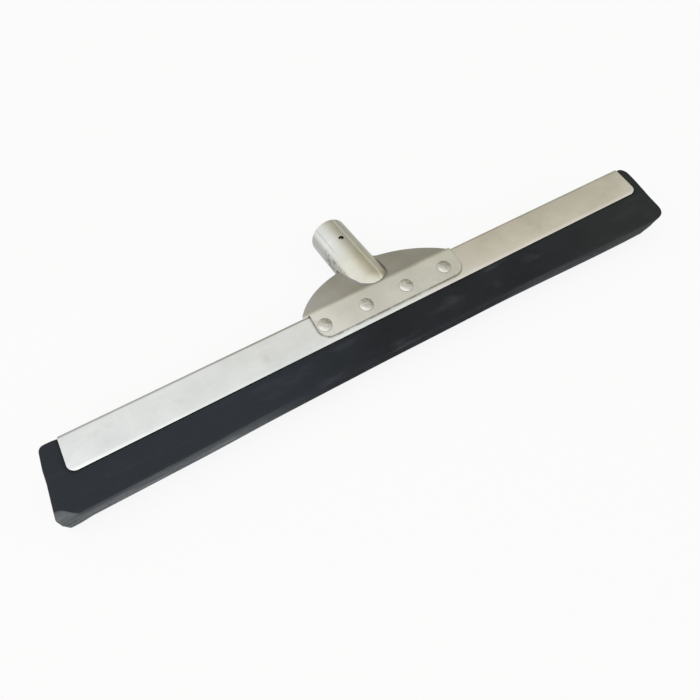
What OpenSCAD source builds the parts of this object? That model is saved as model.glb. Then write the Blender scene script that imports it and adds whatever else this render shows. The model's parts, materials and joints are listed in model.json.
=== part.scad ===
// Floor squeegee head: two foam rubber strips clamped in a folded sheet steel frame,
// with a riveted half-moon plate that carries a round handle socket.
// It lies on its back, as it is put down on a floor: +X runs along the blades,
// +Y from the working edge to the socket's mouth, +Z up.
// The pieces are drawn in the head's own axes: X along the blades, Y up the frame's face
// from its top fold, Z out of that face.

/* [Blades] */
// Length of both foam strips
blade_len = 450; // [440:1:700]
// Thickness of one strip where it stands free
blade_t = 9; // [7:0.5:12]
// How far the strips stand out below the frame
blade_drop = 23.5; // [12:0.5:40]
// How much each strip is squeezed inside the frame
blade_squeeze = 1.5; // [0.8:0.1:2]
// Radius of a strip's lower corners, seen from the front
blade_foot_r = 5; // [1:0.5:8]
// Radius of a strip's upper corners, seen from the front
blade_shoulder_r = 3.5; // [1:0.5:8]
// Rounding of a strip's outer working edge
blade_edge_r = 2; // [0.5:0.1:3]

/* [Frame] */
// Length of the folded frame
frame_len = 432; // [200:1:440]
// How far the frame sits off the middle of the blades
frame_shift = 3.5; // [-5:0.5:5]
// Height of the frame's face
frame_h = 24.5; // [24:0.5:40]
// Sheet thickness of the frame
frame_sheet = 1; // [0.7:0.1:1.4]
// Outside radius of the fold along the top
fold_r = 2.5; // [1.6:0.1:3.5]
// Corner radius at the frame's lower ends
frame_corner_r = 5; // [1:0.5:8]
// Height of the crimped lip along the lower edge
lip_h = 2.5; // [1:0.1:4]
// How far the lip bites into the foam
lip_bite = 1; // [0.2:0.1:1.5]

/* [Socket plate] */
// Sheet thickness of the plate
plate_sheet = 1.5; // [1:0.1:2]
// Left end of the riveted flange, from the socket's axis
flange_left = 52; // [51:0.5:90]
// Right end of the riveted flange, from the socket's axis
flange_right = 58.5; // [51:0.5:90]
// Lower edge of the flange below the frame's top
flange_drop = 21; // [18:0.5:21.5]
// Corner radius at the flange's lower ends
flange_corner_r = 8; // [2:0.5:14]
// Inside radius of the bend over the frame's top
bend_r = 3; // [2.6:0.1:4]
// Width of the half-moon along the bend
moon_chord = 113; // [90:1:120]
// Height of the half-moon above the bend
moon_rise = 33.5; // [30:0.5:44]
// Angle of the half-moon behind the frame's face
moon_tilt = 30; // [26:1:36]
// Radius of the hollow corner where the half-moon meets the socket
ear_r = 5; // [3:0.5:8]

/* [Socket tube] */
// Bore of the socket, for a round handle
tube_bore = 24.8; // [22:0.1:30]
// Wall of the socket
tube_wall = 2.2; // [1.2:0.1:2.5]
// Distance along the axis from the frame's top to the mouth
tube_len = 70.7; // [60:0.1:110]
// Angle of the socket behind the frame's face
tube_tilt = 15; // [13:1:18]
// Distance of the axis behind the frame's face, at the frame's top
tube_setback = 11; // [10:0.5:12]
// Distance along the axis from the frame's top to where the closed end starts to round in
tube_neck = 5; // [3:0.5:8]
// Thickness of the flat closed end
tube_floor = 1.2; // [0.8:0.1:1.6]
// Diameter of the hole for the handle's screw
screw_hole_d = 3.5; // [3:0.1:6]
// Distance of that hole from the mouth
screw_hole_in = 23.2; // [10:0.1:40]
// Leg of the weld beads between the socket and the plate
weld_leg = 1.8; // [1:0.1:3]

/* [Rivets] */
// Distance between neighbouring rivets
rivet_pitch = 31; // [20:0.1:32]
// Row of rivets below the frame's top
rivet_drop = 12; // [9:0.1:13]
// Shank diameter
rivet_d = 4.8; // [3:0.1:6]
// Diameter of the front heads
head_d = 9.5; // [7:0.1:10]
// Height of the front heads
head_h = 1.2; // [1:0.1:3]
// Diameter of the set heads behind the frame
tail_d = 7.4; // [7:0.1:10]
// Height of the set heads behind the frame
tail_h = 1.6; // [1.2:0.1:3]
// Straight rim under a rivet head's dome
head_rim = 0.5; // [0.2:0.1:0.8]

/* [Clearances] */
// Gap between a rivet's shank and its holes
rivet_gap = 0.05; // [0.02:0.01:0.2]
// Gap between the socket and the cut-out in the plate
socket_gap = 0.2; // [0.1:0.05:0.4]
// How much later than the frame's fold the plate starts to bend
bend_gap = 0.5; // [0.3:0.1:0.8]
// Gap between the strips' upper edge and the frame's top
blade_gap = 0.5; // [0.5:0.1:3]

/* [Hidden] */
$fn = 96;
rivet_count = 4;
bend_facets = 12;
steel_light = "#d8d8d2";
steel_plate = "#c4c1b2";
steel_tube = "#d2d1c8";
weld_grey = "#a9a699";
rivet_grey = "#cfccbf";
foam_black = "#2c3035";
// length by which a cutting body runs past what it cuts
over = 2;

// Frame and foam
held_t = blade_t - blade_squeeze;
frame_depth = 2 * (held_t + frame_sheet);
mid_z = -frame_depth / 2;
lip_top = lip_h - frame_h;
blade_bottom = -frame_h - blade_drop;
blade_top = -frame_sheet - blade_gap;
blade_h = blade_top - blade_bottom;

// Plate
bend_y = bend_gap - fold_r;
moon_r = (moon_chord * moon_chord / 4 + moon_rise * moon_rise) / (2 * moon_rise);
moon_centre = moon_rise - moon_r;
moon_foot = bend_r / 3;
tube_r = tube_bore / 2 + tube_wall;
ear_centre = [tube_r + ear_r, moon_centre + sqrt(pow(moon_r + ear_r, 2) - pow(tube_r + ear_r, 2))];
ear_touch = [0, moon_centre] + (ear_centre - [0, moon_centre]) * moon_r / (moon_r + ear_r);

// Resting place on the floor, as [Y, Z] pairs: the rear working edge's rounding and the mouth's rear rim
rear_edge = [blade_bottom + blade_edge_r, mid_z - blade_t + blade_edge_r];
front_edge = [rear_edge[0], mid_z + blade_t - blade_edge_r];
mouth = [tube_len * cos(tube_tilt), -tube_setback - tube_len * sin(tube_tilt)];
rim_step = tube_r * [sin(tube_tilt), cos(tube_tilt)];
reach = mouth - rim_step - rear_edge;
rest_tilt = -atan2(reach[1], reach[0]) - asin(blade_edge_r / norm(reach));
function laid(p) = [p[0] * cos(rest_tilt) - p[1] * sin(rest_tilt),
                    p[0] * sin(rest_tilt) + p[1] * cos(rest_tilt)];
low_y = laid(front_edge)[0] - blade_edge_r;
high_y = laid(mouth + rim_step)[0];
rest_y = -(low_y + high_y) / 2;
rest_z = blade_edge_r - laid(rear_edge)[1];

// Turns a piece from the head's own axes to the way it lies on the floor
module laid_down() {
    translate([0, rest_y, rest_z]) rotate([rest_tilt, 0, 0]) children();
}

// Extrudes a section drawn in Y and Z along X
module along_x(length, shift = 0) {
    translate([shift, 0, 0]) rotate([90, 0, 90]) linear_extrude(length, center = true) children();
}

// Rectangle from the line y = top down to y = bottom, with its lower corners rounded
module plate_outline(width, top, bottom, r) {
    translate([-width / 2, bottom + r]) square([width, top - bottom - r]);
    translate([r - width / 2, bottom]) square([width - 2 * r, r + over / 2]);
    for (side = [-1, 1]) translate([side * (width / 2 - r), bottom + r]) circle(r);
}

module rivet_holes(depth_low, depth_high) {
    for (i = [1 : rivet_count])
        translate([rivet_x(i), -rivet_drop, depth_low])
            cylinder(d = rivet_d + 2 * rivet_gap, h = depth_high - depth_low);
}

function rivet_x(i) = frame_shift + rivet_pitch * (i - (rivet_count + 1) / 2);

// Section of the folded block inside the sheet's skin by inset: a rounded top, straight walls,
// and lips that slant in from lip_top down to foot
module fold_block(inset, foot) {
    r = fold_r - inset;
    bite = lip_bite * (lip_top - foot) / lip_h;
    front = -inset;
    rear = inset - frame_depth;
    polygon([[-fold_r, front], [lip_top, front], [foot, front - bite],
             [foot, rear + bite], [lip_top, rear], [-fold_r, rear]]);
    translate([-fold_r - over / 4, fold_r - frame_depth]) square([r + over / 4, frame_depth - 2 * fold_r]);
    for (z = [-fold_r, fold_r - frame_depth]) translate([-fold_r, z]) circle(r);
}

module channel_section() {
    difference() {
        fold_block(0, -frame_h);
        fold_block(frame_sheet, -frame_h - over);
    }
}

module frame_channel() {
    color(steel_light) laid_down() difference() {
        intersection() {
            along_x(frame_len + over, frame_shift) channel_section();
            translate([frame_shift, 0, -frame_depth - over])
                linear_extrude(frame_depth + 2 * over)
                    plate_outline(frame_len, over, -frame_h, frame_corner_r);
        }
        rivet_holes(-frame_depth - over, over);
    }
}

// Section of a strip where the frame holds it, bitten by the crimped lip, and run on into the free part
module held_section() {
    skin = mid_z + held_t;
    foot = -frame_h - over / 2;
    polygon([[blade_top, mid_z], [blade_top, skin - fold_r], [blade_top - fold_r, skin], [lip_top, skin],
             [-frame_h, skin - lip_bite], [foot, skin - lip_bite], [foot, mid_z]]);
}

// Section of a strip where it stands free, with its outer working edge rounded
module free_section() {
    translate([blade_bottom + blade_edge_r, mid_z]) square([blade_h - blade_edge_r, blade_t]);
    translate([blade_bottom, mid_z]) square([blade_edge_r + over / 2, blade_t - blade_edge_r]);
    translate(front_edge) circle(blade_edge_r);
}

module strip() {
    difference() {
        intersection() {
            union() {
                along_x(frame_len + over, frame_shift) held_section();
                difference() {
                    along_x(blade_len + over) free_section();
                    translate([frame_shift - frame_len / 2, -frame_h, mid_z - over])
                        cube([frame_len, frame_h + over, blade_t + 2 * over]);
                }
            }
            translate([0, 0, mid_z - over]) linear_extrude(blade_t + 2 * over) strip_outline();
        }
        rivet_holes(mid_z - over, over);
    }
}

// Face of a strip, all four corners rounded
module strip_outline() {
    hull() for (side = [-1, 1]) {
        translate([side * (blade_len / 2 - blade_foot_r), blade_bottom + blade_foot_r])
            circle(blade_foot_r);
        translate([side * (blade_len / 2 - blade_shoulder_r), blade_top - blade_shoulder_r])
            circle(blade_shoulder_r);
    }
}

module front_blade() {
    color(foam_black) laid_down() strip();
}

module rear_blade() {
    color(foam_black) laid_down() translate([0, 0, 2 * mid_z]) mirror([0, 0, 1]) strip();
}

// Puts a flat shape on the half-moon's back face, where its own Y starts at the end of the bend
module on_moon() {
    translate([frame_shift, bend_y + bend_r * sin(moon_tilt), bend_r * (cos(moon_tilt) - 1)])
        rotate([-moon_tilt, 0, 0]) children();
}

// The disc runs down into the bend by moon_foot
module moon_outline() {
    intersection() {
        translate([0, moon_centre]) circle(moon_r);
        translate([-moon_chord, -moon_foot]) square([2 * moon_chord, moon_foot + moon_rise + over]);
    }
    for (side = [0, 1]) mirror([side, 0]) difference() {
        polygon([[0, moon_rise / 2], ear_touch, ear_centre, [0, ear_centre[1]]]);
        translate(ear_centre) circle(ear_r);
    }
}

// Points along the bend, on a face of the radius r
function bend_arc(r) = [for (i = [0 : bend_facets])
                        let (a = moon_tilt * i / bend_facets) r * [sin(a), cos(a)]];

function reversed(list) = [for (i = [len(list) - 1 : -1 : 0]) list[i]];

// Section of the bent sheet: flange leg, bend and half-moon leg, both legs longer than needed
module sheet_section() {
    leg = flange_drop + moon_rise;
    moon_run = leg * [cos(moon_tilt), -sin(moon_tilt)];
    front = bend_arc(bend_r + plate_sheet);
    back = bend_arc(bend_r);
    translate([bend_y, -bend_r])
        polygon(concat([front[0] - [leg, 0]], front, [front[bend_facets] + moon_run],
                       [back[bend_facets] + moon_run], reversed(back), [back[0] - [leg, 0]]));
}

module socket_plate() {
    cut = plate_sheet + 2 * over;
    color(steel_plate) laid_down() difference() {
        intersection() {
            along_x(2 * (flange_left + flange_right), frame_shift) sheet_section();
            union() {
                translate([frame_shift + (flange_right - flange_left) / 2, 0, -over]) linear_extrude(cut)
                    plate_outline(flange_left + flange_right, 0, -flange_drop, flange_corner_r);
                on_moon() translate([0, 0, -over]) linear_extrude(cut) moon_outline();
            }
        }
        socket_body(tube_r + socket_gap, -socket_gap);
        rivet_holes(-over, plate_sheet + over);
    }
}

// Puts a shape on the socket's axis, its own Z running to the mouth from the level of the frame's top
module on_tube_axis() {
    translate([frame_shift, 0, -tube_setback]) rotate([-90 - tube_tilt, 0, 0]) children();
}

// Solid round bar with a rounded end, cut flat at the height foot
module socket_body(r, foot, extra = 0) {
    box = tube_len + 2 * r;
    difference() {
        on_tube_axis() rotate_extrude() {
            translate([0, tube_neck]) square([r, tube_len + extra - tube_neck]);
            intersection() {
                translate([0, tube_neck]) circle(r);
                translate([0, tube_neck - r]) square([r, r]);
            }
        }
        translate([frame_shift - box, foot - box, -box]) cube([2 * box, box, 2 * box]);
    }
}

module socket_tube() {
    color(steel_tube) laid_down() difference() {
        socket_body(tube_r, 0);
        socket_body(tube_bore / 2, tube_floor, over);
        on_tube_axis() translate([0, 0, tube_len - screw_hole_in]) rotate([90, 0, 0])
            cylinder(d = screw_hole_d, h = tube_r + over);
    }
}

// Beads along both sides of the socket, on the plate's front and back
module socket_weld() {
    color(weld_grey) laid_down() difference() {
        intersection() {
            socket_body(tube_r + weld_leg, 0);
            on_moon() for (level = [-weld_leg, plate_sheet])
                translate([0, 0, level]) linear_extrude(weld_leg) moon_outline();
        }
        socket_body(tube_r, 0);
    }
}

// Low dome on a short straight rim, standing on z = 0
module rivet_head(d, h) {
    rise = h - head_rim;
    dome_r = (d * d / 4 + rise * rise) / (2 * rise);
    rotate_extrude() {
        square([d / 2, head_rim]);
        intersection() {
            translate([0, h - dome_r]) circle(dome_r);
            translate([0, head_rim]) square([d / 2, h]);
        }
    }
}

module rivet(i) {
    color(rivet_grey) laid_down() translate([rivet_x(i), -rivet_drop, 0]) {
        translate([0, 0, -frame_depth]) cylinder(d = rivet_d, h = frame_depth + plate_sheet);
        translate([0, 0, plate_sheet]) rivet_head(head_d, head_h);
        translate([0, 0, -frame_depth]) mirror([0, 0, 1]) rivet_head(tail_d, tail_h);
    }
}

frame_channel();
front_blade();
rear_blade();
socket_plate();
socket_tube();
socket_weld();
rivet(1);  // rivet_1
rivet(2);  // rivet_2
rivet(3);  // rivet_3
rivet(4);  // rivet_4
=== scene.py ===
"""Looks of a floor squeegee head that lies on its back: foam, welds, steel, floor, light and camera.

Shapes are drawn in millimetres in the head's own axes: X along the blades, Y up the frame's face
from its top fold and Z out of that face. HEAD carries them into the row's frame, in metres.
"""

import json
import math

import bpy
from mathutils import Matrix, Vector


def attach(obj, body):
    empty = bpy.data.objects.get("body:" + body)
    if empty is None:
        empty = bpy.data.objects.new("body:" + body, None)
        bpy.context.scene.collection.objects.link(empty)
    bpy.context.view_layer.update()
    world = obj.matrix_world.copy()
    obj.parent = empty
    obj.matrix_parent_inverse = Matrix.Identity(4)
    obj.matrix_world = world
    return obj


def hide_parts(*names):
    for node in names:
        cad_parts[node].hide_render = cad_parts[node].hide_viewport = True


MM = 0.001

# Foam strips, as in the part's source
BLADE_LEN = 450.0
BLADE_T = 9.0
BLADE_DROP = 23.5
BLADE_TOP = -1.5
EDGE_R = 2.0
SEAM_Z = -8.5

# Frame, as in the part's source
FRAME_LEN = 432.0
FRAME_SHIFT = 3.5
FRAME_H = 24.5
LIP_H = 2.5
LIP_BITE = 1.0
FRAME_CORNER_R = 5.0
HELD_T = 7.5

# Plate, socket and rivets, as in the part's source
PLATE_SHEET = 1.5
FLANGE_LEFT = 52.0
FLANGE_RIGHT = 58.5
FLANGE_DROP = 21.0
FLANGE_CORNER_R = 8.0
PLATE_TILT = math.radians(30)
BEND_R = 3.0
BEND_Y = -2.0
TUBE_R = 14.6
TUBE_BORE_R = 12.4
TUBE_LEN = 70.7
TUBE_TILT = math.radians(15)
TUBE_SETBACK = 11.0
TUBE_NECK = 5.0
SCREW_HOLE_R = 1.75
SCREW_HOLE_IN = 23.2
WELD_LEG = 1.8
RIVET_COUNT = 4
RIVET_PITCH = 31.0
RIVET_DROP = 12.0
RIVET_HEAD_R = 4.75

# What follows from these sizes
BLADE_BOTTOM = -FRAME_H - BLADE_DROP
BLADE_H = BLADE_TOP - BLADE_BOTTOM
HALF_LEN = BLADE_LEN / 2
AXIS_START = Vector((FRAME_SHIFT, 0, -TUBE_SETBACK))


def head_axes(record):
    """The head's own axes in the row's frame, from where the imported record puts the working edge."""
    edge = next(m for m in record["mounts"] if m["name"] == "working_edge")
    tilt = math.atan2(-edge["axis"][2], -edge["axis"][1])
    turn = Matrix.Rotation(tilt, 4, "X")
    on_edge = Vector((0, BLADE_BOTTOM, SEAM_Z + (BLADE_T - EDGE_R) / 2)) * MM
    return Matrix.Translation(Vector(edge["pos_m"]) - turn @ on_edge) @ turn


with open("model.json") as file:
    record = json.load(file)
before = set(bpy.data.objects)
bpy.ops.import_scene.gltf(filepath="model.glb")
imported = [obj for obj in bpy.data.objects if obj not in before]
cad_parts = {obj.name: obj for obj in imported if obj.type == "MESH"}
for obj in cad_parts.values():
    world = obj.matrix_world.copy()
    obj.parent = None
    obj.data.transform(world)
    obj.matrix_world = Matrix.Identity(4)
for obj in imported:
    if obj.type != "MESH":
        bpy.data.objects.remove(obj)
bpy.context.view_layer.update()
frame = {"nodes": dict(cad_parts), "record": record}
HEAD = head_axes(frame["record"])
REST_TILT = HEAD.to_euler().x
SOCKET = HEAD @ Matrix.Translation(AXIS_START * MM) @ Matrix.Rotation(-TUBE_TILT, 4, "X")


# Shapes

def clamp(value):
    """A value kept between 0 and 1."""
    return min(max(value, 0.0), 1.0)


def smooth(span, value):
    """0 up to the span's first end, 1 past its second, and an even curve between."""
    nothing, full = span
    t = clamp((value - nothing) / (full - nothing))
    return t * t * (3 - 2 * t)


def rounding(distance, radius):
    """How far a rounded edge stands back at that distance from it."""
    if distance >= radius:
        return 0.0
    return radius - math.sqrt(radius * radius - (radius - distance) ** 2)


def even_steps(start, stop, count):
    """Even steps, with both ends."""
    return [start + (stop - start) * i / count for i in range(count + 1)]


def arc_steps(radius, count):
    """Steps over a rounding, closest together at its edge."""
    return [radius * (1 - math.cos(math.pi / 2 * i / count)) for i in range(count + 1)]


def eased_steps(start, stop, count):
    """Steps that are closer together at both ends."""
    return [start + (stop - start) * (1 - math.cos(math.pi * i / count)) / 2 for i in range(count + 1)]


def add_piece(name, points, faces, slot, *nodes):
    """A new piece of the object, drawn in the head's axes, that stands for CAD nodes."""
    mesh = bpy.data.meshes.new(name)
    mesh.from_pydata([HEAD @ (p * MM) for p in points], [], faces)
    mesh.shade_smooth()
    piece = bpy.data.objects.new(name, mesh)
    bpy.context.scene.collection.objects.link(piece)
    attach(piece, "root")
    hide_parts(*nodes)
    return piece


# Foam strips: the gap to the frame's walls, and half the gap between the strips
HELD_CLEAR = 0.15
SEAM_CLEAR = 0.03

# Roundings of a strip's edges, and of the shoulders and feet of its ends
SEAM_R = 0.9
END_R = 1.4
TOP_R = 1.2
LEFT_SHOULDER_R = 3.5
RIGHT_SHOULDER_R = 7.0
LEFT_FOOT_R = {"front": 4.0, "seam": 2.6, "rear": 3.4}
RIGHT_FOOT_R = {"front": 7.0, "seam": 9.0, "rear": 14.0}

# How the foam has crept: the left end leans back at its top and flares below the frame, the right
# end bulges beside the frame and tucks in below it, and the working edges hang at their ends and
# have risen left of the middle
LEFT_LEAN = 1.2
LEFT_LEAN_RUN = 14.0
LEFT_FLARE = {"front": 1.4, "seam": 2.4, "rear": 3.4}
RIGHT_BULGE = 1.2
RIGHT_BULGE_RISE = (14, 36)
RIGHT_TUCK = 2.0
LEFT_HANG = 0.7
LEFT_HANG_X = (-212, -222)
RIGHT_HANG = 3.6
RIGHT_HANG_X = (55, 205)
MIDDLE_RISE = 0.7
MIDDLE_LEFT_X = (-150, -90)
MIDDLE_RIGHT_X = (60, -30)

# Length over which an end's cut fades out, and run past the frame over which the foam swells
END_ZONE = 18.0
SWELL_RUN = 1.4

# Slow waves of the outer faces: depth, share of each wave, and radians per millimetre
WAVE_DEPTH = 0.25
LONG_WAVE_SHARE = 0.3
LONG_WAVE_TURN = 0.043
LONG_WAVE_START = 1.3
SHORT_WAVE_SHARE = 0.2
SHORT_WAVE_TURN = 0.117
SHORT_WAVE_LEAN = 0.2

# Mesh steps over a rounding, an end, the length between the ends, and the free and held heights
ROUND_STEPS = 6
END_STEPS = 33
LONG_STEPS = 138
FREE_STEPS = 16
HELD_STEPS = 24


def strip_columns():
    """Places along a strip, closest together at its ends."""
    end = arc_steps(END_R, ROUND_STEPS) + even_steps(END_R, END_ZONE, END_STEPS)[1:]
    middle = even_steps(END_ZONE - HALF_LEN, HALF_LEN - END_ZONE, LONG_STEPS)[1:-1]
    return [e - HALF_LEN for e in end] + middle + [HALF_LEN - e for e in reversed(end)]


def strip_rows():
    """Heights above a strip's lower edge, closest together at its edges and at the frame's lip."""
    free = eased_steps(EDGE_R, BLADE_DROP, FREE_STEPS)
    held = eased_steps(BLADE_DROP, BLADE_H, HELD_STEPS)
    return arc_steps(EDGE_R, ROUND_STEPS) + free[1:] + held[1:]


def past_frame(x, y):
    """Distance of a point outside the frame's outline, whose lower corners are rounded."""
    across = abs(x - FRAME_SHIFT) - FRAME_LEN / 2 + FRAME_CORNER_R
    below = FRAME_CORNER_R - FRAME_H - y
    if across > 0 and below > 0:
        return math.hypot(across, below) - FRAME_CORNER_R
    return max(across, below) - FRAME_CORNER_R


def thickness(x, y):
    """Thickness of a strip: even in the frame, bitten by its lip, swelling out again past its edges."""
    held = HELD_T - HELD_CLEAR - LIP_BITE * clamp((LIP_H - FRAME_H - y) / LIP_H)
    swell = 1 - math.exp(min(-past_frame(x, y), 0.0) / SWELL_RUN)
    return held + (BLADE_T - held) * swell


def freedom(rise):
    """1 at the working edge, 0 from the frame's lip up."""
    return clamp(1 - rise / BLADE_DROP)


def edge_hang(x):
    """How much lower than straight both working edges run."""
    middle = smooth(MIDDLE_LEFT_X, x) * smooth(MIDDLE_RIGHT_X, x)
    ends = RIGHT_HANG * smooth(RIGHT_HANG_X, x) + LEFT_HANG * smooth(LEFT_HANG_X, x)
    return ends - MIDDLE_RISE * middle


def left_cut(rise, face):
    """How far a strip's left end stands back from its full length, on its front, seam or rear face."""
    under_top = BLADE_H - rise
    crept = LEFT_LEAN * clamp(1 - under_top / LEFT_LEAN_RUN) - LEFT_FLARE[face] * freedom(rise)
    return rounding(under_top, LEFT_SHOULDER_R) + rounding(rise, LEFT_FOOT_R[face]) + crept


def right_cut(rise, face):
    """How far a strip's right end stands back from its full length, on its front, seam or rear face."""
    crept = RIGHT_TUCK * freedom(rise) - RIGHT_BULGE * smooth(RIGHT_BULGE_RISE, rise)
    return rounding(BLADE_H - rise, RIGHT_SHOULDER_R) + rounding(rise, RIGHT_FOOT_R[face]) + crept


def waviness(x, y, side):
    """How much of the waves' depth is taken off an outer face at a place."""
    long_wave = 1 + math.sin(x * LONG_WAVE_TURN + side * LONG_WAVE_START)
    short_wave = 1 + math.sin(x * SHORT_WAVE_TURN + y * SHORT_WAVE_LEAN)
    return LONG_WAVE_SHARE * long_wave + SHORT_WAVE_SHARE * short_wave


def outer_depth(x, rise, end, side):
    """Distance of a strip's outer face from the seam."""
    y = BLADE_BOTTOM + rise
    edge = rounding(rise, EDGE_R)
    back = math.hypot(edge, rounding(end, END_R)) + rounding(BLADE_H - rise, TOP_R)
    wave = WAVE_DEPTH * freedom(rise) * waviness(x, y, side) * (1 - edge / EDGE_R)
    return thickness(x, y) - back - wave


def strip_point(x, rise, side, outer):
    """A point of a strip's outer face or of its face at the seam.

    Side is 1 for the front strip and -1 for the rear one.
    """
    end = HALF_LEN - abs(x)
    share = max(0.0, 1 - end / END_ZONE)
    face = ("front" if side > 0 else "rear") if outer else "seam"
    if x < 0:
        x += share * left_cut(rise, face)
    else:
        x -= share * right_cut(rise, face)
    if outer:
        depth = outer_depth(x, rise, end, side)
    else:
        depth = SEAM_CLEAR + rounding(rise, SEAM_R) + rounding(end, SEAM_R)
    hang = edge_hang(x) * freedom(rise)
    lift = hang * math.tan(REST_TILT)
    return Vector((x, BLADE_BOTTOM + rise - hang, SEAM_Z + side * depth + lift))


def foam_strip(name, side, node):
    """One strip as a closed mesh: a grid for its outer face, one at the seam, and a wall round both."""
    columns = strip_columns()
    rows = strip_rows()
    across, up = len(columns), len(rows)
    points = []
    for outer in (True, False):
        points += [strip_point(x, rise, side, outer) for rise in rows for x in columns]

    def at(column, row, outer):
        """Number of a point of either grid."""
        return (row + (0 if outer else up)) * across + column

    faces = []
    for r in range(up - 1):
        for c in range(across - 1):
            square = ((c, r), (c + 1, r), (c + 1, r + 1), (c, r + 1))
            faces.append([at(*corner, True) for corner in square])
            faces.append([at(*corner, False) for corner in reversed(square)])
    rim = [(c, 0) for c in range(across - 1)] + [(across - 1, r) for r in range(up - 1)]
    rim += [(c, up - 1) for c in range(across - 1, 0, -1)] + [(0, r) for r in range(up - 1, 0, -1)]
    for here, there in zip(rim, rim[1:] + rim[:1]):
        faces.append([at(*here, False), at(*there, False), at(*there, True), at(*here, True)])
    if side < 0:
        faces = [f[::-1] for f in faces]
    strip = add_piece(name, points, faces, "foam", node)
    return strip


# Weld beads between the socket and the half-moon plate: where they end, and how deep they sink in
EAR_HEIGHT = 32.0
REAR_BEAD_FOOT = math.radians(15)
BEAD_SINK = 0.12

# Section of a bead: how full its hollow curve is, and its leg's share at the socket's foot
BEAD_FULLNESS = 0.3
BEAD_CURVE_STEPS = 5
FOOT_LEG_SHARE = 0.4

# Along a bead: ring distance, share left at its tips, rings that a tip takes, and ripples
BEAD_STEP = 0.7
TIP_SHARE = 0.4
TIP_RINGS = (0, 6)
RIPPLE = 0.06
RIPPLE_PITCH = 2.3
SLOW_RIPPLE_TURN = 0.37

# Halvings that find the socket's skin to well under a micrometre
SKIN_HALVINGS = 40

MOON_START = Vector((FRAME_SHIFT,
                     BEND_Y + BEND_R * math.sin(PLATE_TILT),
                     BEND_R * (math.cos(PLATE_TILT) - 1)))
MOON_UP = Vector((0, math.cos(PLATE_TILT), -math.sin(PLATE_TILT)))
MOON_OUT = Vector((0, math.sin(PLATE_TILT), math.cos(PLATE_TILT)))
SIDEWAYS = Vector((1, 0, 0))
AXIS = Vector((0, math.cos(TUBE_TILT), -math.sin(TUBE_TILT)))
NECK = AXIS_START + AXIS * TUBE_NECK


def at_least(share, rest):
    """A share, and as much of what is left to 1 as the rest says."""
    return share + (1 - share) * rest


def socket_spoke(p):
    """From the socket's axis, or from the middle of its round foot, to a point."""
    return p - NECK - AXIS * max(0.0, (p - NECK).dot(AXIS))


def on_bend(p):
    """Moves a point that is in front of the plate's bend onto the sheet there."""
    y, z = p.y - BEND_Y, p.z + BEND_R
    angle = math.atan2(y, z)
    if angle >= PLATE_TILT:
        return p
    angle = max(angle, 0.0)
    radius = BEND_R + PLATE_SHEET - BEAD_SINK
    up = BEND_Y + radius * math.sin(angle) + min(y, 0.0)
    return Vector((p.x, up, radius * math.cos(angle) - BEND_R))


def reach(centre, way):
    """Distance from a point inside the socket to its skin."""
    low, high = 0.0, 4 * TUBE_R
    for _ in range(SKIN_HALVINGS):
        middle = (low + high) / 2
        if socket_spoke(centre + way * middle).length < TUBE_R:
            low = middle
        else:
            high = middle
    return low


def bead_ring(centre, angle, out, size):
    """Section of a bead at an angle round the socket.

    It is a hollow curve from the plate to the socket, closed by a point behind, and it is smallest
    at the socket's foot.
    """
    way = SIDEWAYS * math.cos(angle) + MOON_UP * math.sin(angle)
    joint = centre + way * reach(centre, way)
    skin = socket_spoke(joint).normalized()
    away = (skin - out * skin.dot(out)).normalized()
    climb = (out - skin * out.dot(skin)).normalized()
    leg = WELD_LEG * size * at_least(FOOT_LEG_SHARE, abs(math.cos(angle)))
    toe = joint + away * leg - out * BEAD_SINK
    if out == MOON_OUT:
        toe = on_bend(toe)
    crown = joint + climb * leg
    spoke = socket_spoke(crown)
    crown += spoke.normalized() * (TUBE_R - BEAD_SINK - spoke.length)
    bow = joint + (toe + crown - joint * 2) * BEAD_FULLNESS
    ring = []
    for t in even_steps(0, 1, BEAD_CURVE_STEPS):
        ring.append(toe * (1 - t) ** 2 + bow * 2 * t * (1 - t) + crown * t * t)
    return ring + [joint - (skin + out) * BEAD_SINK * 2]


def bead(front, start, stop):
    """Points and faces of one bead, from angle to angle round the socket, on one side of the plate."""
    out = MOON_OUT if front else -MOON_OUT
    level = PLATE_SHEET if front else 0.0
    centre = NECK + MOON_OUT * (level - (NECK - MOON_START).dot(MOON_OUT))
    count = int((stop - start) * TUBE_R / BEAD_STEP)
    rings = []
    for i, angle in enumerate(even_steps(start, stop, count)):
        taper = at_least(TIP_SHARE, smooth(TIP_RINGS, min(i, count - i)))
        ripple = math.sin(2 * math.pi * i * BEAD_STEP / RIPPLE_PITCH) + math.sin(i * SLOW_RIPPLE_TURN)
        rings.append(bead_ring(centre, angle, out, taper * (1 + RIPPLE * ripple)))
    size = len(rings[0])
    faces = [list(reversed(range(size))), list(range(count * size, (count + 1) * size))]
    for i in range(count):
        here, there = i * size, (i + 1) * size
        for k in range(size):
            after = (k + 1) % size
            faces.append([here + k, here + after, there + after, there + k])
    if front:
        faces = [f[::-1] for f in faces]
    return [p for ring in rings for p in ring], faces


def weld_beads():
    """One bead round the socket's front and one down each side behind the plate."""
    ear = math.atan2(EAR_HEIGHT - (NECK - MOON_START).dot(MOON_UP), TUBE_R)
    runs = [(True, math.pi - ear, 2 * math.pi + ear),
            (False, math.pi - ear, math.pi + REAR_BEAD_FOOT),
            (False, -REAR_BEAD_FOOT, ear)]
    points, faces = [], []
    for front, start, stop in runs:
        more, more_faces = bead(front, start, stop)
        faces += [[k + len(points) for k in f] for f in more_faces]
        points += more
    return add_piece("weld_beads", points, faces, "weld", "socket_weld")


# Nodes that materials are made of

# Numbers of a mix node's sockets when it mixes colours
MIX_FACTOR = 0
MIX_FIRST = 6
MIX_SECOND = 7
MIX_RESULT = 2

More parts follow.
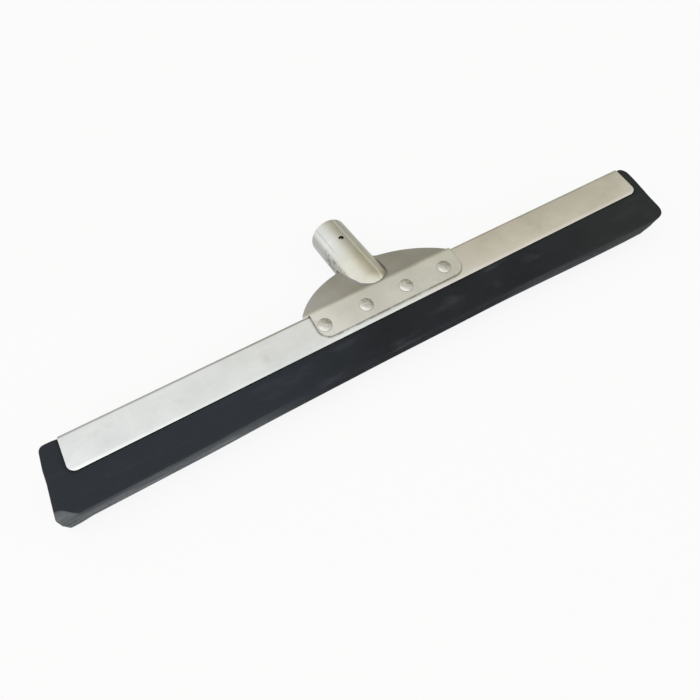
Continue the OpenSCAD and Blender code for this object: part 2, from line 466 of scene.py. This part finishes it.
# Where most of a noise lies, and ways to draw it out
NOISE_LOW = 0.3
NOISE_HIGH = 0.7
EVEN = (1, 1, 1)
ALONG_X = (8, 1, 1)
ALONG_Y = (1, 8, 1)

WHITE = (1, 1, 1)


def grey(value):
    """A grey colour."""
    return (value, value, value)


def add(tree, kind, values=None, links=None, **settings):
    """Adds a node with its settings, the values of its inputs and what is linked to them."""
    made = tree.nodes.new(kind)
    for name, value in settings.items():
        setattr(made, name, value)
    for name, value in (values or {}).items():
        made.inputs[name].default_value = value
    for name, source in (links or {}).items():
        tree.links.new(source, made.inputs[name])
    return made


def calculate(tree, operation, *terms):
    """A calculation on sockets and numbers."""
    made = add(tree, "ShaderNodeMath", operation=operation)
    for term, socket in zip(terms, made.inputs):
        if isinstance(term, bpy.types.NodeSocket):
            tree.links.new(term, socket)
        else:
            socket.default_value = term
    return made.outputs[0]


def product(tree, *factors):
    """Sockets and numbers multiplied together."""
    total = factors[0]
    for factor in factors[1:]:
        total = calculate(tree, "MULTIPLY", total, factor)
    return total


def length(tree, *terms):
    """Root of the sum of squares."""
    total = calculate(tree, "MULTIPLY", terms[0], terms[0])
    for term in terms[1:]:
        total = calculate(tree, "MULTIPLY_ADD", term, term, total)
    return calculate(tree, "SQRT", total)


def fade(tree, source, span):
    """0 where the source is at the span's first end, 1 at its second, and an even curve between."""
    values = {"From Min": span[0], "From Max": span[1]}
    made = add(tree, "ShaderNodeMapRange", values, {"Value": source}, interpolation_type="SMOOTHSTEP")
    return made.outputs["Result"]


def ramp(tree, source, *stops):
    """A colour ramp over (place, colour) stops."""
    made = add(tree, "ShaderNodeValToRGB", links={"Fac": source})
    elements = made.color_ramp.elements
    while len(elements) < len(stops):
        elements.new(0.5)
    for element, (place, colour) in zip(elements, stops):
        element.position = place
        element.color = (*colour, 1)
    return made.outputs["Color"]


def mix(tree, factor, first, second, blend="MIX"):
    """Mixes two colours by a factor. Each is a socket or a value."""
    made = add(tree, "ShaderNodeMix", data_type="RGBA", blend_type=blend)
    for index, value in ((MIX_FACTOR, factor), (MIX_FIRST, first), (MIX_SECOND, second)):
        if isinstance(value, bpy.types.NodeSocket):
            tree.links.new(value, made.inputs[index])
        else:
            made.inputs[index].default_value = value if index == MIX_FACTOR else (*value, 1)
    return made.outputs[MIX_RESULT]


def tint(tree, factor, tone, colour):
    """A tone that is multiplied by a colour as far as the factor says."""
    return mix(tree, factor, tone, colour, "MULTIPLY")


def axes_in(tree, axes):
    """X, Y and Z of a surface in millimetres, in the axes of a matrix."""
    place = add(tree, "ShaderNodeTexCoord").outputs["Object"]
    values = {"Location": axes.to_translation(), "Rotation": axes.to_euler(), "Scale": (MM, MM, MM)}
    moved = add(tree, "ShaderNodeMapping", values, {"Vector": place}, vector_type="TEXTURE")
    return add(tree, "ShaderNodeSeparateXYZ", links={"Vector": moved.outputs["Vector"]}).outputs


def zone(tree, axes, **spans):
    """A mask that fades in over a span along each named axis, in the axes of a matrix."""
    place = axes_in(tree, axes)
    return product(tree, *[fade(tree, place[axis], span) for axis, span in spans.items()])


def noise(tree, size, detail, stretch=EVEN):
    """Noise with features of about a size in millimetres, drawn out along the axes by the stretches."""
    place = add(tree, "ShaderNodeTexCoord").outputs["Object"]
    scale = [1 / (size * MM * s) for s in stretch]
    scaled = add(tree, "ShaderNodeMapping", {"Scale": scale}, {"Vector": place})
    values = {"Scale": 1.0, "Detail": detail}
    return add(tree, "ShaderNodeTexNoise", values, {"Vector": scaled.outputs["Vector"]}).outputs["Fac"]


def patches(tree, size, detail, span, stretch=EVEN):
    """Patches of about a size in millimetres, where noise is at the high end of a span."""
    return fade(tree, noise(tree, size, detail, stretch), span)


def roughness(tree, shader, source, low, high):
    """Roughness that follows a source, from low where it is 0 to high where it is 1."""
    made = add(tree, "ShaderNodeMapRange", {"To Min": low, "To Max": high}, {"Value": source})
    tree.links.new(made.outputs["Result"], shader.inputs["Roughness"])


def bump(tree, height, strength, depth, **links):
    """Normals of a surface with bumps of a depth in millimetres. Other inputs are linked by name."""
    values = {"Strength": strength, "Distance": depth * MM}
    return add(tree, "ShaderNodeBump", values, {"Height": height, **links}).outputs["Normal"]


def new_material(name, metallic):
    """A material with its node tree and its shader."""
    made = bpy.data.materials.new(name)
    made.use_nodes = True
    shader = made.node_tree.nodes["Principled BSDF"]
    shader.inputs["Metallic"].default_value = metallic
    return made, made.node_tree, shader


# Galvanised steel: sizes and depths in millimetres, and how strong each feature is
STEEL_METALLIC = 0.8
CLOUD_SIZE = 24
GRAIN_SIZE = 1.1
GRAIN_DEPTH = 0.2
GRAIN_BUMP = 0.1
GRAIN_SHADE = 0.4
GRAIN_SHARE = 0.06
SMUDGE_SIZE = 11
SMUDGE_SPAN = (0.58, 0.78)
SMUDGE_SHADE = 0.9
NOOK_REACH = 2.2
NOOK_SAMPLES = 12
NOOK_SHUT = 0.3
NOOK_OPEN = 0.8
NOOK_SHADE = (0.3, 0.29, 0.26)
SHINIER = 0.07
DULLER = 0.09
DENT_DEPTH = 0.6


def galvanised(name, dark, light, rough, stretch, shades, dents=0.1, dent_size=5):
    """Zinc-coated steel: cloudy tone and gloss, fine grain, smudges, dents, and grime with painted
    shade in its corners.

    Each shade is a mask and the colour that the tone is multiplied by there.
    """
    made, tree, shader = new_material(name, STEEL_METALLIC)
    cloud = noise(tree, CLOUD_SIZE, detail=4)
    grain = noise(tree, GRAIN_SIZE, detail=2, stretch=stretch)
    tone = ramp(tree, cloud, (NOISE_LOW, dark), (NOISE_HIGH, light))
    lines = ramp(tree, grain, (NOISE_LOW, grey(GRAIN_SHADE)), (NOISE_HIGH, WHITE))
    tone = tint(tree, GRAIN_SHARE, tone, lines)
    smudges = patches(tree, SMUDGE_SIZE, detail=5, span=SMUDGE_SPAN)
    tone = tint(tree, smudges, tone, grey(SMUDGE_SHADE))
    # Corners closed in by other surfaces are darkened: painted shade, with grime.
    nook = add(tree, "ShaderNodeAmbientOcclusion", {"Distance": NOOK_REACH * MM}, samples=NOOK_SAMPLES)
    shade_and_grime = ramp(tree, nook.outputs["AO"], (NOOK_SHUT, NOOK_SHADE), (NOOK_OPEN, WHITE))
    tone = tint(tree, 1.0, tone, shade_and_grime)
    for mask, colour in shades:
        tone = tint(tree, mask(tree), tone, colour)
    tree.links.new(tone, shader.inputs["Base Color"])
    roughness(tree, shader, cloud, rough - SHINIER, rough + DULLER)
    dent = bump(tree, noise(tree, dent_size, detail=2), dents, DENT_DEPTH)
    fine = bump(tree, grain, GRAIN_BUMP, GRAIN_DEPTH, Normal=dent)
    tree.links.new(fine, shader.inputs["Normal"])
    return made


# Spans over which the frame's painted shade, its painted warm shade and the grime and painted shadow
# along the flange fade in, in millimetres in the head's axes
FOLD_Y = (-3.0, -1.2)
FOLD_Z = (-5.0, -3.0)
FOLD_X = (70, -30)
WARM_X = (-20, 90)
WARM_END_X = (206, 215)
WARM_END_LOSS = 0.35
STEP_OFF = (FLANGE_CORNER_R + 1.8, FLANGE_CORNER_R + 0.4)
STEP_Z = (-1.5, -0.5)
STEP_PATCH_SIZE = 6
STEP_PATCH_SPAN = (0.3, 0.55)


def fold_shade_mask(tree):
    """The front of the frame's fold, darkened with painted shade, mostly on the left."""
    return zone(tree, HEAD, Y=FOLD_Y, Z=FOLD_Z, X=FOLD_X)


def warm_shade_mask(tree):
    """The frame's right part, darkened and warmed with painted shade, weaker at its very end."""
    along = axes_in(tree, HEAD)["X"]
    end = fade(tree, along, WARM_END_X)
    return calculate(tree, "MULTIPLY_ADD", end, -WARM_END_LOSS, fade(tree, along, WARM_X))


def step_shade_and_grime_mask(tree):
    """Painted shadow and grime on the frame's face, in the step along the flange's outline."""
    place = axes_in(tree, HEAD)
    middle = FRAME_SHIFT + (FLANGE_RIGHT - FLANGE_LEFT) / 2
    half = (FLANGE_RIGHT + FLANGE_LEFT) / 2
    across = calculate(tree, "ABSOLUTE", calculate(tree, "SUBTRACT", place["X"], middle))
    across = calculate(tree, "SUBTRACT", across, half - FLANGE_CORNER_R)
    below = calculate(tree, "SUBTRACT", FLANGE_CORNER_R - FLANGE_DROP, place["Y"])
    off = length(tree, *[calculate(tree, "MAXIMUM", past, 0.0) for past in (across, below)])
    shade_and_grime = patches(tree, STEP_PATCH_SIZE, detail=3, span=STEP_PATCH_SPAN)
    return product(tree, fade(tree, off, STEP_OFF), shade_and_grime, fade(tree, place["Z"], STEP_Z))


def sheet_steel():
    """The frame's sheet."""
    # Painted shade on the fold and on the right part, and painted shadow with grime along the flange
    shades = [
        (fold_shade_mask, grey(0.5)),
        (warm_shade_mask, (0.92, 0.865, 0.785)),
        (step_shade_and_grime_mask, (0.6, 0.58, 0.52)),
    ]
    return galvanised("galvanised_sheet", dark=(0.745, 0.755, 0.745), light=(0.86, 0.87, 0.86),
                      rough=0.34, stretch=ALONG_X, shades=shades)


# Spans over which the plate's painted shade and painted light fade in, in millimetres in the head's
# axes
MOON_Y = (-0.8, 1.5)
MOON_LEFT_X = (-12, -40)
FLANGE_Y = (1.5, -0.8)
FLANGE_LEFT_X = (-18, -42)


def moon_shade_mask(tree):
    """The half-moon, above the plate's bend, darkened with painted shade."""
    return zone(tree, HEAD, Y=MOON_Y)


def moon_left_light_mask(tree):
    """The half-moon's left part, paler and bluer with painted light."""
    return zone(tree, HEAD, Y=MOON_Y, X=MOON_LEFT_X)


def flange_left_light_mask(tree):
    """The flange's left end, paler with painted light."""
    return zone(tree, HEAD, Y=FLANGE_Y, X=FLANGE_LEFT_X)


def plate_steel():
    """The plate's flange and half-moon."""
    # Painted shade on the half-moon, and painted light on the left of the half-moon and of the flange
    shades = [
        (moon_shade_mask, grey(0.69)),
        (moon_left_light_mask, (1.1, 1.11, 1.2)),
        (flange_left_light_mask, (1.09, 1.09, 1.1)),
    ]
    return galvanised("galvanised_plate", dark=(0.66, 0.655, 0.60), light=(0.78, 0.77, 0.71),
                      rough=0.38, stretch=ALONG_X, shades=shades)


# Spans over which the socket's painted shade, painted highlight, grime and specks fade in, in
# millimetres in its own axes
BORE_OFF = (TUBE_BORE_R + 0.6, TUBE_BORE_R + 0.2)
HOLE_OFF = (SCREW_HOLE_R + 0.4, SCREW_HOLE_R + 0.1)
LEFT_FLANK_X = (-11.2, -13.8)
RIGHT_FLANK_X = (5.4, 9.0)
FOOT_HIGHLIGHT_Y = (46, 18)
SCORCH_X = (-11.5, -14.0)
SCORCH_Y = (56, 44)
SPECK_SIZE = 3.0
SPECK_SPAN = (0.5, 0.6)
FRONT_Z = (0.0, 1.0)

# Lines on the socket: the angle round it from the front, and half the width
SCRATCH_TURN = math.radians(-42)
SCRATCH_HALF = 0.9
SCRATCH_Y = (34, 46)
# A painted highlight down the socket's right front
HIGHLIGHT_LINE_TURN = math.radians(20)
HIGHLIGHT_LINE_HALF = 1.1


def bore_shade_and_grime_mask(tree):
    """The inside of the socket and of its round foot, darkened with painted shade and grime."""
    place = axes_in(tree, SOCKET)
    under_neck = calculate(tree, "MINIMUM", calculate(tree, "SUBTRACT", place["Y"], TUBE_NECK), 0.0)
    return fade(tree, length(tree, place["X"], place["Z"], under_neck), BORE_OFF)


def hole_shade_mask(tree):
    """The wall of the screw hole, darkened with painted shade."""
    place = axes_in(tree, SOCKET)
    along = calculate(tree, "SUBTRACT", place["Y"], TUBE_LEN - SCREW_HOLE_IN)
    return fade(tree, length(tree, place["X"], along), HOLE_OFF)


def foot_highlight_mask(tree):
    """The socket's foot, brightened and warmed with a painted highlight."""
    return zone(tree, SOCKET, Y=FOOT_HIGHLIGHT_Y)


def left_flank_shade_mask(tree):
    """The socket's left side, darkened with painted shade."""
    return zone(tree, SOCKET, X=LEFT_FLANK_X)


def right_flank_shade_mask(tree):
    """The socket's right side, darkened to olive with a painted dark reflection."""
    return zone(tree, SOCKET, X=RIGHT_FLANK_X)


def scorch_mask(tree):
    """Dark specks on the socket's left side, near the weld."""
    specks = patches(tree, SPECK_SIZE, detail=3, span=SPECK_SPAN)
    return product(tree, zone(tree, SOCKET, X=SCORCH_X, Y=SCORCH_Y), specks)


def line_mask(tree, turn, half_width):
    """A line along the socket's front, at an angle round it."""
    place = axes_in(tree, SOCKET)
    sideways = calculate(tree, "MULTIPLY", place["X"], math.cos(turn))
    off = calculate(tree, "MULTIPLY_ADD", place["Z"], -math.sin(turn), sideways)
    line = fade(tree, calculate(tree, "ABSOLUTE", off), (half_width, half_width / 2))
    return product(tree, line, fade(tree, place["Z"], FRONT_Z))


def scratch_mask(tree):
    """A long scratch on the socket's upper half."""
    return product(tree, line_mask(tree, SCRATCH_TURN, SCRATCH_HALF), zone(tree, SOCKET, Y=SCRATCH_Y))


def highlight_line_mask(tree):
    """A bright line down the socket's right front: a painted highlight."""
    return line_mask(tree, HIGHLIGHT_LINE_TURN, HIGHLIGHT_LINE_HALF)


def tube_steel():
    """The socket's tube."""
    # Painted shade in the bore, the screw hole and on both flanks, and painted highlights on the foot
    # and in a line down the right front
    shades = [
        (bore_shade_and_grime_mask, (0.16, 0.14, 0.11)),
        (hole_shade_mask, (0.12, 0.11, 0.09)),
        (foot_highlight_mask, (1.05, 1.02, 0.925)),
        (left_flank_shade_mask, grey(0.55)),
        (right_flank_shade_mask, (0.53, 0.52, 0.46)),
        (scorch_mask, grey(0.45)),
        (scratch_mask, grey(0.85)),
        (highlight_line_mask, grey(1.4)),
    ]
    return galvanised("galvanised_tube", dark=(0.72, 0.72, 0.685), light=(0.84, 0.84, 0.805),
                      rough=0.34, stretch=ALONG_Y, shades=shades)


# Span over which the painted shadow on the weld's right side fades in, in millimetres in the socket's
# axes
WELD_SHADOW_X = (9.0, 13.0)


def weld_shadow_mask(tree):
    """The weld on the socket's right side, darkened with painted shadow in the crevice there."""
    return zone(tree, SOCKET, X=WELD_SHADOW_X)


def weld_steel():
    """The dull beads, whose dark colour is partly painted shade under the socket's foot."""
    return galvanised("weld", dark=(0.30, 0.29, 0.265), light=(0.42, 0.41, 0.385),
                      rough=0.6, stretch=EVEN, shades=[(weld_shadow_mask, grey(0.45))], dents=0.4)


# Rivets: the way across a head from its side with a painted highlight to its side with painted shade,
# and spans along it
SHADED_RIGHT = 0.8
SHADED_UP = 0.6
SHADED_SIDE = (-0.2, 0.6)
LIT_SIDE = (-0.3, -0.8)
RIVET_SHADE_SIZE = 2.4
RIVET_SHADE_SPAN = (0.32, 0.6)


def across_rivet(tree):
    """Place on a rivet's head, from -1 at the lower left of its rim to 1 at the upper right."""
    place = axes_in(tree, HEAD)
    sideways = calculate(tree, "SUBTRACT", place["X"], FRAME_SHIFT)
    sideways = calculate(tree, "FLOORED_MODULO", sideways, RIVET_PITCH)
    sideways = calculate(tree, "SUBTRACT", sideways, RIVET_PITCH / 2)
    upward = calculate(tree, "ADD", place["Y"], RIVET_DROP)
    upward = calculate(tree, "MULTIPLY", upward, SHADED_UP / RIVET_HEAD_R)
    return calculate(tree, "MULTIPLY_ADD", sideways, SHADED_RIGHT / RIVET_HEAD_R, upward)


def rivet_shade_mask(tree):
    """Patchy painted shade on a rivet's upper right."""
    shade_and_grime = patches(tree, RIVET_SHADE_SIZE, detail=3, span=RIVET_SHADE_SPAN)
    return product(tree, fade(tree, across_rivet(tree), SHADED_SIDE), shade_and_grime)


def rivet_highlight_mask(tree):
    """The lower left of a rivet's rim, with a painted highlight."""
    return fade(tree, across_rivet(tree), LIT_SIDE)


def rivet_steel():
    """The hammered rivets."""
    # Painted shade on each head's upper right and a painted highlight on its lower left
    shades = [
        (rivet_shade_mask, (0.66, 0.65, 0.6)),
        (rivet_highlight_mask, grey(1.35)),
    ]
    return galvanised("rivet", dark=(0.58, 0.57, 0.525), light=(0.70, 0.69, 0.64),
                      rough=0.36, stretch=EVEN, shades=shades, dents=1.0, dent_size=2.2)


# Foam: sizes and depths in millimetres, and how strong each feature is
FOAM_SPECULAR = 0.12
FOAM_CLOUD_SIZE = 26
FOAM_DARK = (0.020, 0.022, 0.025)
FOAM_LIGHT = (0.027, 0.030, 0.034)
PORE_SIZE = 0.4
PORE_DEPTH = 0.3
PORE_BUMP = 0.35
PORE_LOW = 0.35
PORE_HIGH = 0.65
PORE_SHADE = 0.35
PORE_SHARE = 0.4
SCUFF_SIZE = 9
SCUFF_SPAN = (0.52, 0.78)
SCUFF_STRETCH = (3, 1, 1)
SCUFF_COLOUR = (0.05, 0.055, 0.06)
FOAM_ROUGH = 0.95
SCUFF_ROUGH = 0.82

# Painted light on the foam's ends, cool on the left and warm on the right, and spans over which it
# fades in, in the head's axes
LEFT_LIT_X = (0, -100)
LEFT_LIT_SHARE = 0.75
LEFT_LIT_COLOUR = (0.038, 0.0435, 0.054)
RIGHT_LIT_X = (100, 190)
RIGHT_LIT_SHARE = 0.7
RIGHT_LIT_COLOUR = (0.034, 0.038, 0.035)

# Paler grey on the working edges, more of it the further back, and up round the left corner
PALE_SIZE = 4
PALE_STRETCH = (4, 1, 1)
PALE_DARK = (0.125, 0.134, 0.142)
PALE_LIGHT = (0.24, 0.255, 0.262)
PALE_RISE = (3.5, 2.5)
PALE_Z = (0.0, -1.4)
PALE_AT_FRONT = 0.3
PALE_LEFT_X = (-60, -145)
PALE_RIGHT_X = (70, 105)
PALE_RIGHT_SHARE = 0.3
CORNER_X = (-211, -216)
CORNER_SHARE = 0.72
CORNER_CLIMB = 6.5
CORNER_CLIMB_X = (-213, -224)
CORNER_RISE = (0.6, -0.4)


def edge_pale_mask(tree):
    """The working edges, paler on the left and a little on the right."""
    place = axes_in(tree, HEAD)
    rise = calculate(tree, "SUBTRACT", place["Y"], BLADE_BOTTOM)
    deep = calculate(tree, "MULTIPLY_ADD", place["Z"], -1 / (2 * BLADE_T), PALE_AT_FRONT)
    left = fade(tree, place["X"], PALE_LEFT_X)
    right = product(tree, fade(tree, place["X"], PALE_RIGHT_X), PALE_RIGHT_SHARE)
    along = calculate(tree, "MAXIMUM", left, right)
    return product(tree, fade(tree, place["Z"], PALE_Z), deep, fade(tree, rise, PALE_RISE), along)


def corner_pale_mask(tree):
    """The lower left corner, paler further up towards the end."""
    place = axes_in(tree, HEAD)
    rise = calculate(tree, "SUBTRACT", place["Y"], BLADE_BOTTOM)
    climb = fade(tree, place["X"], CORNER_CLIMB_X)
    above = calculate(tree, "MULTIPLY_ADD", climb, -CORNER_CLIMB, rise)
    return product(tree, fade(tree, above, CORNER_RISE), fade(tree, place["X"], CORNER_X), CORNER_SHARE)


def foam():
    """Fine-pored black foam rubber: faint scuffs, ends paler with painted light, and grey along its
    working edges.
    """
    made, tree, shader = new_material("foam", 0.0)
    shader.inputs["Specular IOR Level"].default_value = FOAM_SPECULAR
    pores = noise(tree, PORE_SIZE, detail=4)
    scuffs = patches(tree, SCUFF_SIZE, detail=5, span=SCUFF_SPAN, stretch=SCUFF_STRETCH)
    cloud = noise(tree, FOAM_CLOUD_SIZE, detail=3)
    tone = ramp(tree, cloud, (NOISE_LOW, FOAM_DARK), (NOISE_HIGH, FOAM_LIGHT))
    tone = mix(tree, scuffs, tone, SCUFF_COLOUR)
    # Painted light: both ends paler, cooler on the left and warmer on the right
    left = product(tree, zone(tree, HEAD, X=LEFT_LIT_X), LEFT_LIT_SHARE)
    tone = mix(tree, left, tone, LEFT_LIT_COLOUR)
    right = product(tree, zone(tree, HEAD, X=RIGHT_LIT_X), RIGHT_LIT_SHARE)
    tone = mix(tree, right, tone, RIGHT_LIT_COLOUR)
    streaks = noise(tree, PALE_SIZE, detail=4, stretch=PALE_STRETCH)
    pale_tone = ramp(tree, streaks, (NOISE_LOW, PALE_DARK), (NOISE_HIGH, PALE_LIGHT))
    paleness = calculate(tree, "MAXIMUM", edge_pale_mask(tree), corner_pale_mask(tree))
    tone = mix(tree, paleness, tone, pale_tone)
    holes = ramp(tree, pores, (PORE_LOW, grey(PORE_SHADE)), (PORE_HIGH, WHITE))
    tone = tint(tree, PORE_SHARE, tone, holes)
    tree.links.new(tone, shader.inputs["Base Color"])
    roughness(tree, shader, scuffs, FOAM_ROUGH, SCUFF_ROUGH)
    tree.links.new(bump(tree, pores, PORE_BUMP, PORE_DEPTH), shader.inputs["Normal"])
    return made


# Broken edges of the CAD nodes: how close points are joined first, in millimetres, and the bevel
JOIN_WITHIN = 0.001
BEVEL_STEPS = 3
SHARP_FROM = math.radians(40)


def dress(names, material, edge):
    """Gives CAD nodes a material, and edges broken by a width in millimetres."""
    for name in names:
        piece = frame["nodes"][name]
        piece.data.materials.clear()
        piece.data.materials.append(material)
        join = piece.modifiers.new("join", "WELD")
        join.merge_threshold = JOIN_WITHIN * MM
        bevel = piece.modifiers.new("bevel", "BEVEL")
        bevel.width = edge * MM
        bevel.segments = BEVEL_STEPS
        bevel.limit_method = "ANGLE"
        bevel.angle_limit = SHARP_FROM
        piece.modifiers.new("normals", "WEIGHTED_NORMAL")


# Camera in metres and degrees, its lens and sensor in millimetres
CAMERA_AT = (-0.1056, -0.2099, 0.2679)
CAMERA_TURN = (35.14, 4.60, -29.31)
LENS_MM = 24.69
SENSOR_MM = 36.0
CLIP_M = 0.01

# Floor: half its width in metres, its paint, and the share of plain white that is seen of it
FLOOR_HALF = 4.0
FLOOR_PAINT = 0.9
FLOOR_WHITE = 0.85

# Light from all round: where it is dimmest, and its colours from there round to the other side
DIM_SIDE = (0.72, 0.62, 0.31)
DIM_LIGHT = (0.95, (0.295, 0.277, 0.2))
WARM_LIGHT = (0.72, (0.62, 0.585, 0.46))
PLAIN_LIGHT = (0.48, (0.92, 0.925, 0.915))
COOL_LIGHT = (0.0, (0.93, 0.945, 0.96))

# Lamp, in metres and watts
KEY_AT = (-0.6, -0.55, 0.6)
KEY_SIZE = 0.9
KEY_WATTS = 1.2
KEY_COLOUR = (1, 0.99, 0.97)


def photo_camera():
    """The camera of the photograph, found from the frame's edges in it."""
    data = bpy.data.cameras.new("camera")
    data.lens = LENS_MM
    data.sensor_width = SENSOR_MM
    data.clip_start = CLIP_M
    camera = bpy.data.objects.new("camera", data)
    camera.location = CAMERA_AT
    camera.rotation_euler = [math.radians(a) for a in CAMERA_TURN]
    bpy.context.scene.collection.objects.link(camera)
    bpy.context.scene.camera = camera


def floor_material():
    """White paint that is seen, and mirrored, near white, and still takes the shadow."""
    made = bpy.data.materials.new("floor")
    made.use_nodes = True
    tree = made.node_tree
    tree.nodes.clear()
    paint = add(tree, "ShaderNodeBsdfDiffuse", {"Color": (*grey(FLOOR_PAINT), 1)})
    white = add(tree, "ShaderNodeEmission")
    path = add(tree, "ShaderNodeLightPath").outputs
    seen = calculate(tree, "MAXIMUM", path["Is Camera Ray"], path["Is Glossy Ray"])
    seen = calculate(tree, "MAXIMUM", seen, path["Is Transmission Ray"])
    both = add(tree, "ShaderNodeMixShader", links={"Fac": product(tree, seen, FLOOR_WHITE)})
    tree.links.new(paint.outputs[0], both.inputs[1])
    tree.links.new(white.outputs[0], both.inputs[2])
    add(tree, "ShaderNodeOutputMaterial", links={"Surface": both.outputs[0]})
    return made


def pale_floor():
    """A wide square floor."""
    corners = [(x * FLOOR_HALF, y * FLOOR_HALF, 0) for x, y in ((-1, -1), (1, -1), (1, 1), (-1, 1))]
    mesh = bpy.data.meshes.new("floor")
    mesh.from_pydata(corners, [], [(0, 1, 2, 3)])
    mesh.materials.append(floor_material())
    floor = bpy.data.objects.new("floor", mesh)
    bpy.context.scene.collection.objects.link(floor)


def studio_world():
    """Soft light from all round, dimmer and warmer on one side."""
    world = bpy.data.worlds.new("studio")
    bpy.context.scene.world = world
    world.use_nodes = True
    tree = world.node_tree
    way = add(tree, "ShaderNodeTexCoord").outputs["Generated"]
    towards = add(tree, "ShaderNodeVectorMath", operation="DOT_PRODUCT")
    tree.links.new(way, towards.inputs[0])
    towards.inputs[1].default_value = DIM_SIDE
    light = ramp(tree, towards.outputs["Value"], COOL_LIGHT, PLAIN_LIGHT, WARM_LIGHT, DIM_LIGHT)
    tree.links.new(light, tree.nodes["Background"].inputs["Color"])


def key_lamp():
    """A square lamp that faces the object."""
    data = bpy.data.lights.new("key", "AREA")
    data.size = KEY_SIZE
    data.energy = KEY_WATTS
    data.color = KEY_COLOUR
    lamp = bpy.data.objects.new("key", data)
    lamp.location = KEY_AT
    lamp.rotation_euler = (-Vector(KEY_AT)).to_track_quat("-Z", "Y").to_euler()
    bpy.context.scene.collection.objects.link(lamp)


photo_camera()
pale_floor()
studio_world()
key_lamp()
bpy.context.scene.view_settings.view_transform = "Standard"

black = foam()
foam_strip("front_strip", 1, "front_blade").data.materials.append(black)
foam_strip("rear_strip", -1, "rear_blade").data.materials.append(black)
weld_beads().data.materials.append(weld_steel())
dress(["frame_channel"], sheet_steel(), edge=0.18)
dress(["socket_plate"], plate_steel(), edge=0.25)
dress(["socket_tube"], tube_steel(), edge=0.12)
dress(["rivet_%d" % i for i in range(1, RIVET_COUNT + 1)], rivet_steel(), edge=0.2)
